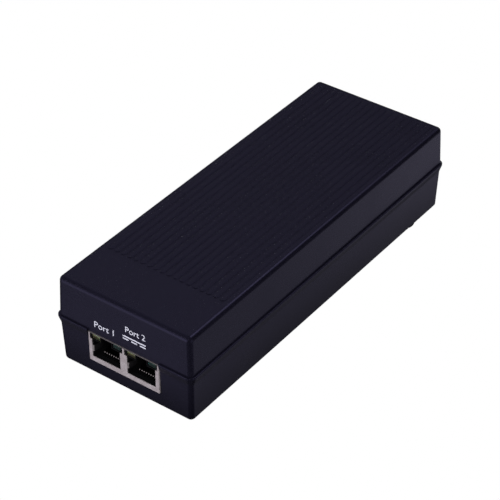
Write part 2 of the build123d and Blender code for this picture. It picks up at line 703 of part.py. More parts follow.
def mains_fuse():
    x, y = FUSE_PLACE
    z = BOARD_Z + 3.4
    tube = Pos(x, y, z) * Rot(90, 0, 0) * Cylinder(2.4, 20.0)
    thickness = 2 * LEAD_RADIUS
    wire = slab(around(x, thickness), around(y, 23.6), around(z, thickness))
    fuse = tube + wire
    for end in (-8.0, 8.0):
        fuse += Pos(x, y + end, z) * Rot(90, 0, 0) * Cylinder(2.6, 5.0)
    return fuse + leads(LEAD_PLACES["mains_fuse"], BOARD_TOP + 3.4)


def disc_part(place, radius, thickness, lead_key):
    """Dipped disc that stands on edge on its two leads."""
    x, y = place
    disc = Pos(x, y, BOARD_Z + 1.5 + radius) * Rot(90, 0, 0) * Cylinder(radius, thickness)
    disc = fillet(disc.edges(), thickness * 0.35)
    return disc + leads(LEAD_PLACES[lead_key], BOARD_TOP + radius)


def surge_varistor():
    return disc_part(VARISTOR_PLACE, 5.5, 4.2, "surge_varistor")


def safety_capacitor():
    return disc_part(SAFETY_CAPACITOR_PLACE, 4.6, 3.2, "safety_capacitor")


def filter_capacitor():
    x, y = FILTER_CAPACITOR_PLACE
    case = slab(around(x, 18.0), around(y, 8.5), (BOARD_Z + 0.3, BOARD_Z + 15.0))
    case = fillet(case.edges().filter_by(Axis.Z) + case.edges().group_by(Axis.Z)[-1], 0.6)
    return case + leads(LEAD_PLACES["filter_capacitor"])


def ring_section(inner, outer, low, high, angle, start):
    """Part of a square-section ring about the choke's upright axis."""
    x, y = CHOKE_PLACE
    middle = Pos((inner + outer) / 2, (low + high) / 2)
    section = Plane.XZ * middle * Rectangle(outer - inner, high - low)
    ring = revolve(section, Axis.Z, angle)
    return Pos(x, y, BOARD_Z) * Rot(0, 0, start) * ring


def choke_core():
    return ring_section(4.5, 8.0, 3.0, 9.0, 360, 0)


def choke_windings():
    """Two separate coils round the core, one on each side, with a lead at each end."""
    sides = []
    for start in (20, 200):
        coil = ring_section(3.4, 9.2, 1.9, 10.1, 140, start) - choke_core()
        sides.append(coil)
    wires = leads(LEAD_PLACES["choke"], BOARD_TOP + 2.2)
    return [sides[0] + [w for w in wires if w.center().Y > CHOKE_PLACE[1]],
            sides[1] + [w for w in wires if w.center().Y < CHOKE_PLACE[1]]]


def bridge_rectifier():
    x, y = BRIDGE_PLACE
    body = slab(around(x, 15.0), around(y, 3.6), (BOARD_Z + 2.0, BOARD_Z + 13.0))
    body = chamfer(body.edges().filter_by(Axis.Y).group_by(Axis.Z)[-1].sort_by(Axis.X)[0], 2.4)
    return body + leads(LEAD_PLACES["bridge"], BOARD_TOP + 3.0)


def can_capacitor(place, radius, height, lead_key):
    """Upright electrolytic capacitor with a rolled groove near its foot."""
    x, y = place
    low = BOARD_Z + 0.4
    can = post(x, y, low, low + height, radius)
    can = fillet(can.edges().group_by(Axis.Z)[-1], 0.8)
    groove = Pos(x, y, low + 2.6) * Torus(radius + 0.35, 0.8)
    return can - groove + leads(LEAD_PLACES[lead_key])


def bulk_capacitor():
    return can_capacitor(BULK_PLACE, 9.0, 25.5, "bulk")


def output_capacitors():
    return [can_capacitor(place, 5.0, 20.0, f"output_capacitor_{number}")
            for number, place in enumerate(OUTPUT_CAPACITOR_PLACES)]


def power_package(place, side, lead_key):
    """Upright three-lead package whose metal tab faces outwards, against a heat sink."""
    x, y = place
    back = side * (SINK_X - SINK_THICKNESS / 2)
    body_x = sorted((back, back - side * 4.4))
    tab_x = sorted((back, back - side * 1.3))
    body = slab(body_x, around(y, 10.2), (BOARD_Z + 4.0, BOARD_Z + TAB_HEIGHT))
    tab = slab(tab_x, around(y, 10.2), (BOARD_Z + TAB_HEIGHT, BOARD_Z + TAB_HEIGHT + 6.4))
    hole = Pos(back, y, BOARD_Z + TAB_HEIGHT + 3.4) * Rot(0, 90, 0) * Cylinder(1.8, 12.0)
    return body + tab - hole + leads(LEAD_PLACES[lead_key], BOARD_TOP + 5.0)


def heat_sink(place, side):
    """Folded aluminium plate with two solder pins and a hole for its screw."""
    y = place[1]
    x = side * SINK_X
    length = around(y, SINK_LENGTH)
    plate = slab(around(x, SINK_THICKNESS), length, (BOARD_Z + 0.5, BOARD_Z + SINK_HEIGHT))
    fold_x = sorted((x + side * SINK_THICKNESS / 2, x - side * 8.0))
    plate += slab(fold_x, length, (BOARD_Z + SINK_HEIGHT - SINK_THICKNESS, BOARD_Z + SINK_HEIGHT))
    for pin_x, pin_y in pair(x, y, dy=SINK_PIN_SPACING / 2):
        plate += slab(around(pin_x, 1.2), around(pin_y, 1.2), (CASE_Z + LEAD_BOTTOM, BOARD_Z + 1.0))
    hole = Pos(x, y, BOARD_Z + TAB_HEIGHT + 3.4) * Rot(0, 90, 0) * Cylinder(1.5, 4.0)
    return plate - hole


def primary_switch():
    return power_package(SWITCH_PLACE, -1, "switch")


def output_rectifier():
    return power_package(RECTIFIER_PLACE, 1, "rectifier")


def primary_heat_sink():
    return heat_sink(SWITCH_PLACE, -1)


def output_heat_sink():
    return heat_sink(RECTIFIER_PLACE, 1)


def heat_sink_screws():
    """One screw through each package's tab into its heat sink."""
    screws = []
    for side, place in ((-1, SWITCH_PLACE), (1, RECTIFIER_PLACE)):
        tab_face = SINK_X - SINK_THICKNESS / 2 - 1.3
        centre = Pos(0, place[1], BOARD_Z + TAB_HEIGHT + 3.4)
        head = Pos(side * (tab_face - 1.0), 0, 0) * Rot(0, 90, 0) * Cylinder(2.7, 2.0)
        shank = Pos(side * (tab_face + 1.4), 0, 0) * Rot(0, 90, 0) * Cylinder(1.48, 2.8)
        screws.append(centre * (head + shank))
    return screws


def transformer_core():
    """Two E-shaped ferrite halves butted together, their legs along Y."""
    x, y = TRANSFORMER_PLACE
    z = around(BOARD_Z + 13.0, 7.6)
    core = slab(around(x, 26.0), around(y, 25.0), z)
    for side in (-1, 1):
        window = around(x + side * 6.65, 6.1)
        core -= slab(window, around(y, 17.8), (0, TOP_Z))
    return core


def bobbin_tube(across, up, length):
    x, y = TRANSFORMER_PLACE
    return slab(around(x, across), around(y, length), around(BOARD_Z + 13.0, up))


def transformer_bobbin():
    x, y = TRANSFORMER_PLACE
    bobbin = bobbin_tube(9.4, 10.0, 17.6)
    for end in (-1, 1):
        flange_y = sorted((y + end * 8.8, y + end * 7.8))
        bobbin += slab(around(x, 19.0), flange_y, around(BOARD_Z + 13.0, 20.0))
        foot_y = sorted((y + end * 7.8, y + end * 10.6))
        bobbin += slab(around(x, 19.0), foot_y, (BOARD_Z + 0.3, BOARD_Z + 4.0))
    bobbin -= bobbin_tube(7.3, 7.8, 40.0)
    bobbin -= transformer_core()
    return bobbin + leads(LEAD_PLACES["transformer"])


def transformer_windings():
    coil = bobbin_tube(18.2, 18.4, 15.4)
    coil = fillet(coil.edges().filter_by(Axis.Y), 2.6)
    return coil - bobbin_tube(9.5, 10.1, 40.0)


def output_choke():
    x, y = OUTPUT_CHOKE_PLACE
    drum = post(x, y, BOARD_Z + 0.3, BOARD_Z + 13.0, 5.4)
    drum = fillet(drum.edges().group_by(Axis.Z)[-1], 0.8)
    return drum + leads(LEAD_PLACES["output_choke"])


def signal_isolator():
    x, y = ISOLATOR_PLACE
    body = slab(around(x, 6.4), around(y, 4.6), (BOARD_Z + 0.6, BOARD_Z + 4.0))
    for lead_x, lead_y in LEAD_PLACES["isolator"]:
        reach = sorted((x, lead_x + math.copysign(LEAD_RADIUS, lead_x - x)))
        body += slab(reach, around(lead_y, 0.8), around(BOARD_Z + 2.3, 0.3))
    return body + leads(LEAD_PLACES["isolator"], BOARD_TOP + 2.3)


def surface_chip(place, width, length, height, pins, pitch):
    """Flat chip with a row of short legs down each long side."""
    x, y = place
    chip = slab(around(x, width), around(y, length), (BOARD_Z + 0.15, BOARD_Z + height))
    for i in range(pins):
        pin_y = y + (i - (pins - 1) / 2) * pitch
        chip += slab(around(x, width + 2.2), around(pin_y, pitch * 0.4), (BOARD_Z, BOARD_Z + 0.35))
    return chip


def switch_controller():
    return surface_chip(SWITCH_CONTROLLER_PLACE, 3.9, 4.9, 1.6, 4, 1.27)


def port_controller():
    return surface_chip(PORT_CONTROLLER_PLACE, 7.5, 10.3, 2.4, 8, 1.27)


def port_transformer():
    return surface_chip(PORT_TRANSFORMER_PLACE, 12.7, 17.5, 6.0, 12, 1.27)


def chip_components():
    """Small chip resistors and capacitors between the larger parts."""
    rows = [(-13.0, -54.0), (11.5, -54.0), (-20.5, -52.0), (13.5, -40.0), (17.0, -50.0)]
    chips = []
    for x, y in rows:
        for i in range(4):
            chips.append(slab(around(x, 1.25), around(y + 2.4 * i, 0.8 * 2), (BOARD_Z, BOARD_Z + 0.6)))
    return chips


# ------------------------------------------------------------ write every part
DATA_IN, POWER_OUT = PORT_CENTRES

PARTS = {
    "top_cover": top_cover(),
    "bottom_case": bottom_case(),
    "rubber_feet": rubber_feet(),
    "case_screws": case_screws(),
    "rating_label": rating_label(),
    "jack_shield": jack_shield(),
    "jack_housing": jack_housing(),
    "contact_carriers": contact_carriers(),
    "data_in_contacts": sprung_contacts(DATA_IN),
    "power_out_contacts": sprung_contacts(POWER_OUT),
    "data_in_terminals": fixed_terminals(DATA_IN),
    "power_out_terminals": fixed_terminals(POWER_OUT),
    "yellow_lamps": lamps(-1),
    "green_lamps": lamps(1),
    "lamp_leads": lamp_leads(),
    "inlet_housing": inlet_housing(),
    "inlet_line_blade": inlet_blade("line", LINE_LEG_Y),
    "inlet_neutral_blade": inlet_blade("neutral", LINE_LEG_Y),
    "inlet_earth_blade": inlet_blade("earth", EARTH_LEG_Y),
    "main_board": main_board(),
    "insulation_sheet": insulation_sheet(),
    "mains_fuse": mains_fuse(),
    "surge_varistor": surge_varistor(),
    "filter_capacitor": filter_capacitor(),
    "choke_core": choke_core(),
    "choke_windings": choke_windings(),
    "bridge_rectifier": bridge_rectifier(),
    "bulk_capacitor": bulk_capacitor(),
    "primary_switch": primary_switch(),
    "primary_heat_sink": primary_heat_sink(),
    "safety_capacitor": safety_capacitor(),
    "switch_controller": switch_controller(),
    "transformer_core": transformer_core(),
    "transformer_bobbin": transformer_bobbin(),
    "transformer_windings": transformer_windings(),
    "signal_isolator": signal_isolator(),
    "output_rectifier": output_rectifier(),
    "output_heat_sink": output_heat_sink(),
    "heat_sink_screws": heat_sink_screws(),
    "output_capacitors": output_capacitors(),
    "output_choke": output_choke(),
    "port_controller": port_controller(),
    "port_transformer": port_transformer(),
    "chip_components": chip_components(),
}

os.makedirs("parts", exist_ok=True)
for node, shape in PARTS.items():
    solids = Compound(children=list(shape)) if isinstance(shape, list) else shape
    export_step(solids, f"parts/{node}.step")
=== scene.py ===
import math

import bmesh
import bpy
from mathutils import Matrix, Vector


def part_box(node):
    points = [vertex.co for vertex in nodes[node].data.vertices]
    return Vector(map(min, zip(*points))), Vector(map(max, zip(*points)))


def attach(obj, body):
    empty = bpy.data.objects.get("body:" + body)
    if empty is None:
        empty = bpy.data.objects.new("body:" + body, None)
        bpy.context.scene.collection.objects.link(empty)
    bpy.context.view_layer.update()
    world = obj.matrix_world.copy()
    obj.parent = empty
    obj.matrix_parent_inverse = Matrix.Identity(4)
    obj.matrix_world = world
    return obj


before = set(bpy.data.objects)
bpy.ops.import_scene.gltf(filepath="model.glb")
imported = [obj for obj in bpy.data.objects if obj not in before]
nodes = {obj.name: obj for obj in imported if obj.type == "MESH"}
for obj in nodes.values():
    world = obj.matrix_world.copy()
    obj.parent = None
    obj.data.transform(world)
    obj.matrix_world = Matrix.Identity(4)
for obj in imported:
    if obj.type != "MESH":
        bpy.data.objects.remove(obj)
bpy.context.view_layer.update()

MM = 0.001
scene = bpy.context.scene


# ---------------------------------------------------------------- shader helpers
NOISE_LOW, NOISE_HIGH = 0.3, 0.7     # nearly all of a noise lies between these
MIX_COLORS = (6, 7)                  # sockets of the Mix node that take colours
MIX_RESULT = 2                       # and the one that gives the mixed colour
BEVEL_SAMPLES = 4
SHADER_INPUTS = {"color": "Base Color", "rough": "Roughness", "metal": "Metallic", "normal": "Normal",
                 "specular": "Specular IOR Level", "tint": "Specular Tint", "sss": "Subsurface Weight",
                 "coat": "Coat Weight", "coat_rough": "Coat Roughness"}


def feed(tree, value, socket):
    """Joins another node's output to a socket, or sets the socket to a plain value."""
    if isinstance(value, bpy.types.NodeSocket):
        tree.links.new(value, socket)
    else:
        socket.default_value = value


class Shader:
    """A node material with short calls for the nodes that it uses."""

    def __init__(self, name):
        self.material = bpy.data.materials.new(name)
        self.material.use_nodes = True
        self.tree = self.material.node_tree
        self.surface = self.tree.nodes["Principled BSDF"]
        self.place = self.tree.nodes.new("ShaderNodeTexCoord").outputs["Object"]

    def node(self, kind, inputs=(), **settings):
        """New shader node with its inputs linked or set."""
        made = self.tree.nodes.new("ShaderNode" + kind)
        for key, value in settings.items():
            setattr(made, key, value)
        for key, value in dict(inputs).items():
            feed(self.tree, value, made.inputs[key])
        return made

    def math(self, operation, a, b=0.0, c=0.0):
        return self.node("Math", {0: a, 1: b, 2: c}, operation=operation).outputs[0]

    def ramp(self, value, low, high, to_low=0.0, to_high=1.0):
        """Smooth step from to_low at low to to_high at high."""
        made = self.node("MapRange", {"Value": value, "From Min": low, "From Max": high,
                                      "To Min": to_low, "To Max": to_high},
                         interpolation_type="SMOOTHSTEP")
        return made.outputs["Result"]

    def spread(self, noise, to_low=0.0, to_high=1.0):
        """Noise stretched over a whole range."""
        return self.ramp(noise, NOISE_LOW, NOISE_HIGH, to_low, to_high)

    def noise(self, size_mm, detail=2.0, roughness=0.5, stretch=None, distortion=0.0):
        """Noise whose lumps are about size_mm across."""
        where = self.place
        if stretch:
            where = self.node("Mapping", {"Vector": where, "Scale": stretch}).outputs[0]
        made = self.node("TexNoise", {"Vector": where, "Scale": 1.0 / (size_mm * MM), "Detail": detail,
                                      "Roughness": roughness, "Distortion": distortion})
        return made.outputs["Fac"]

    def cells(self, size_mm):
        """Distance to the middle of round cells about size_mm across."""
        inputs = {"Vector": self.place, "Scale": 1.0 / (size_mm * MM)}
        return self.node("TexVoronoi", inputs).outputs["Distance"]

    def axis(self, index, where=None):
        """X, Y or Z of a vector, or else of the place on the object."""
        return self.node("SeparateXYZ", {0: where or self.place}).outputs[index]

    def mix(self, factor, a, b):
        """Colour from a to b."""
        made = self.node("Mix", {"Factor": factor}, data_type="RGBA")
        for value, socket in zip((a, b), MIX_COLORS):
            plain = not isinstance(value, bpy.types.NodeSocket)
            feed(self.tree, (*value, 1.0) if plain else value, made.inputs[socket])
        return made.outputs[MIX_RESULT]

    def bump(self, height, depth_mm, strength, normal=None):
        """Normal for relief that is depth_mm deep."""
        inputs = {"Height": height, "Distance": depth_mm * MM, "Strength": strength}
        if normal:
            inputs["Normal"] = normal
        return self.node("Bump", inputs).outputs[0]

    def bevel(self, radius_mm):
        """Normal that rounds the edges off."""
        return self.node("Bevel", {"Radius": radius_mm * MM}, samples=BEVEL_SAMPLES).outputs[0]

    def set(self, **values):
        """Links or sets inputs of the surface by their short names."""
        for key, value in values.items():
            if isinstance(value, tuple):
                value = (*value, 1.0)
            feed(self.tree, value, self.surface.inputs[SHADER_INPUTS[key]])


def dress(material, *names):
    """Gives CAD nodes a material."""
    for name in names:
        mesh = nodes[name].data
        mesh.materials.clear()
        mesh.materials.append(material)


# ---------------------------------------------------------------- case plastic
CASE_DARK = (0.0050, 0.0046, 0.0090)
CASE_LIGHT = (0.0060, 0.0055, 0.0108)
CASE_SPECULAR = 0.5
CASE_TINT = (0.64, 0.60, 1.0)
BLACK = (0.0, 0.0, 0.0)
SHADE_FROM = -1.0                    # height in mm where the painted shade on the case is darkest
SHADE_TO = 19.0                      # and from where up it has no painted shade
SHADE = 0.5                          # share of the tone and gloss that the painted shade leaves at SHADE_FROM


def case_plastic():
    """Blue-black moulded plastic with a fine spark-eroded skin, and painted shade that darkens its colour
    and gloss towards the underside.
    """
    s = Shader("case_plastic")
    grain = s.noise(0.32, detail=3.0, roughness=0.62)
    pits = s.cells(0.46)
    skin = s.math("ADD", s.math("MULTIPLY", grain, 0.7), s.math("MULTIPLY", pits, 0.45))
    drift = s.noise(26.0)
    mottle = s.noise(1.6, detail=3.0)
    tone = s.math("ADD", s.math("MULTIPLY", mottle, 0.5), s.math("MULTIPLY", drift, 0.5))
    # painted shade: colour and specular fall away towards the case's underside
    lit = s.ramp(s.axis(2), SHADE_FROM * MM, SHADE_TO * MM, SHADE, 1.0)
    color = s.mix(lit, BLACK, s.mix(s.spread(tone), CASE_DARK, CASE_LIGHT))
    rough = s.math("ADD", s.ramp(skin, 0.2, 0.9, -0.04, 0.04), s.ramp(drift, 0.35, 0.65, 0.26, 0.31))
    s.set(color=color, rough=rough, specular=s.math("MULTIPLY", lit, CASE_SPECULAR), tint=CASE_TINT,
          normal=s.bump(skin, 0.02, 0.4))
    return s.material


dress(case_plastic(), "top_cover", "bottom_case")


# ---------------------------------------------------------------- jack
FACE_DEPTHS = (0.35, 0.9)            # mm behind the shield's face between which painted shade darkens it
ROOF_DEPTHS = (0.36, 0.28)           # mm under the shield's top between which painted shade darkens its cut edge
INSIDE_SHARE = 0.02                  # share of the plating's colour that the painted shade leaves inside
ROOF_SHARE = 0.3                     # and on the roof's cut edge
# colour that the painted shade gives the plating
SHADED_NICKEL = (0.006, 0.006, 0.007)
SHADED_SHARE = 0.35                    # share of a lamp's height, from its foot, fully in painted shade


def nickel():
    """Satin nickel plating, with painted shade inside the ports and on the roof's cut edge."""
    s = Shader("shield_nickel")
    low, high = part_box("jack_shield")
    # painted shade: the plating darkens inside the ports and on the roof's cut edge
    inside = s.ramp(s.axis(1), *(low.y + depth * MM for depth in FACE_DEPTHS), 1.0, INSIDE_SHARE)
    roof = s.ramp(s.axis(2), *(high.z - depth * MM for depth in ROOF_DEPTHS), 1.0, ROOF_SHARE)
    streak = s.noise(0.9, detail=4.0, stretch=(1.0, 1.0, 9.0))
    cloud = s.noise(3.0)
    plating = s.mix(s.spread(cloud), (0.45, 0.395, 0.41), (0.54, 0.485, 0.505))
    s.set(color=s.mix(s.math("MULTIPLY", inside, roof), SHADED_NICKEL, plating), metal=0.55,
          rough=s.spread(streak, 0.32, 0.44), normal=s.bump(streak, 0.01, 0.35, s.bevel(0.12)))
    return s.material


def jack_plastic():
    """Black glass-filled moulding, faintly streaked where it flowed."""
    s = Shader("jack_plastic")
    grain = s.noise(0.25)
    flow = s.noise(4.0, detail=3.0, distortion=0.6)
    s.set(color=s.mix(s.spread(flow), (0.0022, 0.0022, 0.0025), (0.0033, 0.0033, 0.00375)),
          rough=s.spread(flow, 0.3, 0.42), specular=0.12, normal=s.bump(grain, 0.01, 0.3, s.bevel(0.08)))
    return s.material


def gold():
    """Thin gold plating, wiped along by plugs."""
    s = Shader("contact_gold")
    wipe = s.noise(0.25, detail=3.0, stretch=(6.0, 1.0, 1.0))
    color = s.mix(s.spread(wipe), (0.33, 0.30, 0.245), (0.42, 0.385, 0.32))
    s.set(color=color, rough=s.spread(wipe, 0.10, 0.18), metal=1.0,
          normal=s.bump(wipe, 0.004, 0.3, s.bevel(0.05)))
    return s.material


def lens(name, shaded_color, pale, node):
    """Unlit tinted lens, with painted shade that darkens it towards its foot."""
    s = Shader(name)
    low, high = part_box(node)
    swirl = s.noise(1.2, distortion=0.8)
    # painted shade: the lens darkens towards the lamp's foot
    lit = s.ramp(s.axis(2), low.z + SHADED_SHARE * (high.z - low.z), high.z)
    color = s.mix(s.math("MULTIPLY", lit, s.spread(swirl, 0.6, 1.0)), shaded_color, pale)
    s.set(color=color, rough=s.spread(swirl, 0.16, 0.26), sss=0.2, coat=0.3, coat_rough=0.1,
          normal=s.bump(swirl, 0.02, 0.2, s.bevel(0.15)))
    return s.material


dress(nickel(), "jack_shield")
dress(jack_plastic(), "jack_housing", "contact_carriers")
dress(gold(), "data_in_contacts", "power_out_contacts", "data_in_terminals", "power_out_terminals")
dress(lens("yellow_lens", (0.016, 0.015, 0.004), (0.23, 0.22, 0.115), "yellow_lamps"), "yellow_lamps")
dress(lens("green_lens", (0.002, 0.008, 0.006), (0.012, 0.040, 0.029), "green_lamps"), "green_lamps")


# ---------------------------------------------------------------- print on the front
# Places and sizes here are in mm.
SEAM_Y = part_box("top_cover")[0].y / MM
SEAM_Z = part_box("bottom_case")[1].z / MM
FRONT_LEAN = 0.59 / 16.7             # how far the cover's front leans back for its height
PRINT_THICKNESS = 0.05
LETTER_DEPTH = 0.5                   # half the thickness of the letters before they are laid on
LETTER_STEPS = 6                     # straight steps in each curve of a letter
LEGEND_WIDTH = 8.8                   # of both ports' words
CAP_HEIGHT = 2.5
SIGN_WIDTH = 10.2
SIGN_LINE = 0.5
SIGN_RISE = 1.1                      # from the foot of the dashes to the foot of the line above
SIGN_GAP = 1.3


def on_front(across, up, share):
    """Point on the leaning front, raised by a share of the print's thickness."""
    face = SEAM_Y + (up - SEAM_Z) * FRONT_LEAN
    return Vector((across, face - share * PRINT_THICKNESS, up)) * MM


def ink():
    """Pale screen ink, a little uneven."""
    s = Shader("print_ink")
    grain = s.noise(0.12, detail=3.0)
    cover = s.noise(0.5)
    s.set(color=s.mix(s.spread(cover), (0.42, 0.42, 0.50), (0.56, 0.56, 0.64)), specular=0.3,
          rough=s.spread(grain, 0.42, 0.55), normal=s.bump(grain, 0.01, 0.4))
    return s.material


def legend(name, words, left, baseline, material):
    """Generic words in thin print."""
    bpy.ops.object.text_add()
    text = bpy.context.object
    text.data.body = words
    text.data.resolution_u = LETTER_STEPS
    text.data.extrude = LETTER_DEPTH
    bpy.ops.object.convert(target="MESH")
    text.name = name
    points = text.data.vertices
    first = min(point.co.x for point in points)
    last = max(point.co.x for point in points)
    top = max(point.co.y for point in points)
    for point in points:
        across = left + (point.co.x - first) / (last - first) * LEGEND_WIDTH
        up = baseline + point.co.y / top * CAP_HEIGHT
        point.co = on_front(across, up, (point.co.z / LETTER_DEPTH + 1.0) / 2.0)
    text.data.materials.append(material)
    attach(text, "root")


def current_sign(name, left, bottom, material):
    """Direct-current sign in the same print: a line above three dashes."""
    dash = (SIGN_WIDTH - 2 * SIGN_GAP) / 3
    bars = [(left, SIGN_WIDTH, bottom + SIGN_RISE)]
    bars += [(left + i * (dash + SIGN_GAP), dash, bottom) for i in range(3)]
    build = bmesh.new()
    for start, length, foot in bars:
        block = bmesh.ops.create_cube(build, size=1.0)
        for corner in block["verts"]:
            across = start + (corner.co.x + 0.5) * length
            up = foot + (corner.co.z + 0.5) * SIGN_LINE
            corner.co = on_front(across, up, 0.5 - corner.co.y)
    mesh = bpy.data.meshes.new(name)
    build.to_mesh(mesh)
    build.free()
    sign = bpy.data.objects.new(name, mesh)
    scene.collection.objects.link(sign)
    mesh.materials.append(material)
    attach(sign, "root")


print_ink = ink()
legend("legend_port_1", "Port 1", left=-13.0, baseline=24.8, material=print_ink)
legend("legend_port_2", "Port 2", left=1.1, baseline=29.2, material=print_ink)
current_sign("legend_current", left=-0.1, bottom=25.9, material=print_ink)


# ---------------------------------------------------------------- feet
def rubber():
    """Matt soft rubber."""
    s = Shader("foot_rubber")
    grain = s.noise(0.4, detail=4.0)
    s.set(color=s.mix(grain, (0.012, 0.012, 0.013), (0.022, 0.022, 0.023)), specular=0.2,
          rough=s.spread(grain, 0.62, 0.8), normal=s.bump(grain, 0.03, 0.5))
    return s.material


dress(rubber(), "rubber_feet")


# ---------------------------------------------------------------- parts inside
# Lengths here are in mm.
BOARD_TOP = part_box("main_board")[1].z / MM
TIN_DARK = (0.40, 0.40, 0.42)
TIN_LIGHT = (0.66, 0.66, 0.68)
BLACK_EPOXY = ((0.013, 0.013, 0.0135), (0.020, 0.020, 0.021))
CHANGE = 0.05                        # half the height over which one finish gives way to the next
UNEVEN = 0.03                        # how far roughness wanders either way
WIRE_SHINE = 0.65                    # a wire's roughness as a share of its body's
TRACK_SIZE = 9.0
TAPE_TURN = 1.1
WINDING_TURNS = 56
CAN_LEADS = 0.4                      # bare wire under a can
FUSE_TUBE = 5.5                      # from the fuse's middle to its caps
FUSE_EDGE = 0.02                     # half the width of the change from tube to cap
FRAME_INSET = 2.0                    # from the label's edge to its ruled frame
FRAME_LINE = 0.18                    # half the width of the frame's line
FRAME_BLUR = 0.04                    # and of its soft edge


def moulded(name, dark, light, rough=(0.35, 0.5), grain_mm=0.3, depth_mm=0.012, specular=0.4,
            edge_mm=0.12, leads_mm=None, coat=0.0):
    """Moulded, dipped or sleeved part, cloudy in tone. Up to leads_mm above the board it's wire."""
    s = Shader(name)
    cloud = s.noise(10.0 * grain_mm, detail=3.0, distortion=0.5)
    grain = s.noise(grain_mm, detail=3.0, roughness=0.6)
    color = s.mix(s.spread(cloud), dark, light)
    roughness = s.math("ADD", s.spread(cloud, *rough), s.ramp(grain, 0.2, 0.8, -UNEVEN, UNEVEN))
    if leads_mm is not None:
        top = BOARD_TOP + leads_mm
        body = s.ramp(s.axis(2), (top - CHANGE) * MM, (top + CHANGE) * MM)
        color = s.mix(body, s.mix(s.spread(cloud), TIN_DARK, TIN_LIGHT), color)
        s.set(metal=s.math("SUBTRACT", 1.0, body))
        dulling = s.math("MULTIPLY_ADD", body, 1.0 - WIRE_SHINE, WIRE_SHINE)
        roughness = s.math("MULTIPLY", roughness, dulling)
    s.set(color=color, rough=roughness, specular=specular, coat=coat, coat_rough=0.15,
          normal=s.bump(grain, depth_mm, 0.5, s.bevel(edge_mm)))
    return s.material


def metal(name, dark, light, rough=(0.2, 0.34), grain_mm=0.5, stretch=None, depth_mm=0.006,
          edge_mm=0.1):
    """Plated, drawn or brushed metal, streaked along its grain."""
    s = Shader(name)
    streak = s.noise(grain_mm, detail=4.0, stretch=stretch)
    cloud = s.noise(7.0 * grain_mm)
    color = s.mix(s.spread(cloud), dark, light)
    roughness = s.math("ADD", s.spread(streak, *rough), s.spread(cloud, -UNEVEN, UNEVEN))
    s.set(color=color, rough=roughness, metal=1.0,
          normal=s.bump(streak, depth_mm, 0.4, s.bevel(edge_mm)))
    return s.material


def laminate():
    """Green solder mask over copper tracks, bare weave on the cut edges."""
    s = Shader("board_laminate")
    tracks = s.node("TexBrick", {"Vector": s.place, "Scale": 1.0 / (TRACK_SIZE * MM), "Mortar Size": 0.03,
                                 "Mortar Smooth": 0.3, "Brick Width": 0.7, "Row Height": 0.22})
    weave = s.noise(0.8, stretch=(1.0, 6.0, 1.0))
    cloud = s.noise(9.0, detail=3.0)
    mask = s.mix(tracks.outputs["Fac"], (0.012, 0.075, 0.032), (0.006, 0.045, 0.019))
    mask = s.mix(s.spread(cloud, 0.0, 0.35), mask, (0.02, 0.1, 0.045))
    edge = s.mix(s.spread(weave), (0.30, 0.27, 0.14), (0.42, 0.38, 0.22))
    facing = s.node("NewGeometry").outputs["Normal"]
    flat = s.ramp(s.math("ABSOLUTE", s.axis(2, facing)), 0.3, 0.7)
    s.set(color=s.mix(flat, edge, mask), rough=s.spread(cloud, 0.26, 0.36), specular=0.5, coat=0.2,
          coat_rough=0.2, normal=s.bump(s.math("ADD", tracks.outputs["Fac"], weave), 0.02, 0.5))
    return s.material


def wound(name, dark, light, centre, turns):
    """Enamelled wire wound round a ring about an upright axis."""
    s = Shader(name)
    x = s.math("SUBTRACT", s.axis(0), centre[0])
    y = s.math("SUBTRACT", s.axis(1), centre[1])
    phase = s.math("MULTIPLY", s.math("ARCTAN2", y, x), float(turns))
    turn = s.math("MULTIPLY_ADD", s.math("SINE", phase), 0.5, 0.5)
    cloud = s.noise(1.4, detail=3.0)
    color = s.mix(s.math("MULTIPLY", turn, s.ramp(cloud, 0.2, 0.8, 0.7, 1.0)), dark, light)
    s.set(color=color, rough=s.spread(cloud, 0.22, 0.34), metal=0.85, coat=0.5,
          coat_rough=0.12, normal=s.bump(turn, 0.35, 0.9))
    return s.material


def wrapped(name, dark, light):
    """Layers of polyester tape over a coil, with the wire just showing through."""
    s = Shader(name)
    ridge = s.node("TexWave", {"Vector": s.place, "Scale": 0.9 / (TAPE_TURN * MM), "Distortion": 0.4,
                               "Detail": 1.0}, bands_direction="Y").outputs["Fac"]
    crease = s.noise(3.0, detail=3.0, stretch=(1.0, 4.0, 1.0))
    color = s.mix(s.spread(crease), dark, light)
    s.set(color=color, rough=s.spread(crease, 0.2, 0.34), specular=0.5, coat=0.4,
          coat_rough=0.1, normal=s.bump(s.math("ADD", ridge, crease), 0.05, 0.5, s.bevel(0.3)))
    return s.material


def sleeved_can(name):
    """Dark shrink sleeve with a pale stripe and a bare aluminium lid."""
    s = Shader(name)
    cloud = s.noise(2.0, detail=3.0)
    grain = s.noise(0.3, detail=3.0)
    facing = s.node("NewGeometry").outputs["Normal"]
    stripe = s.ramp(s.axis(1, facing), 0.86, 0.90)
    lid = s.ramp(s.axis(2, facing), 0.93, 0.97)
    sleeve = s.mix(s.spread(cloud), (0.008, 0.010, 0.022), (0.014, 0.017, 0.034))
    color = s.mix(lid, s.mix(stripe, sleeve, (0.34, 0.35, 0.37)), (0.62, 0.62, 0.63))
    top = BOARD_TOP + CAN_LEADS
    wire = s.ramp(s.axis(2), (top + CHANGE) * MM, (top - CHANGE) * MM)
    s.set(color=s.mix(wire, color, TIN_LIGHT), metal=s.math("MAXIMUM", lid, wire),
          rough=s.spread(cloud, 0.22, 0.34), coat=0.2, coat_rough=0.15,
          normal=s.bump(grain, 0.01, 0.5, s.bevel(0.2)))
    return s.material


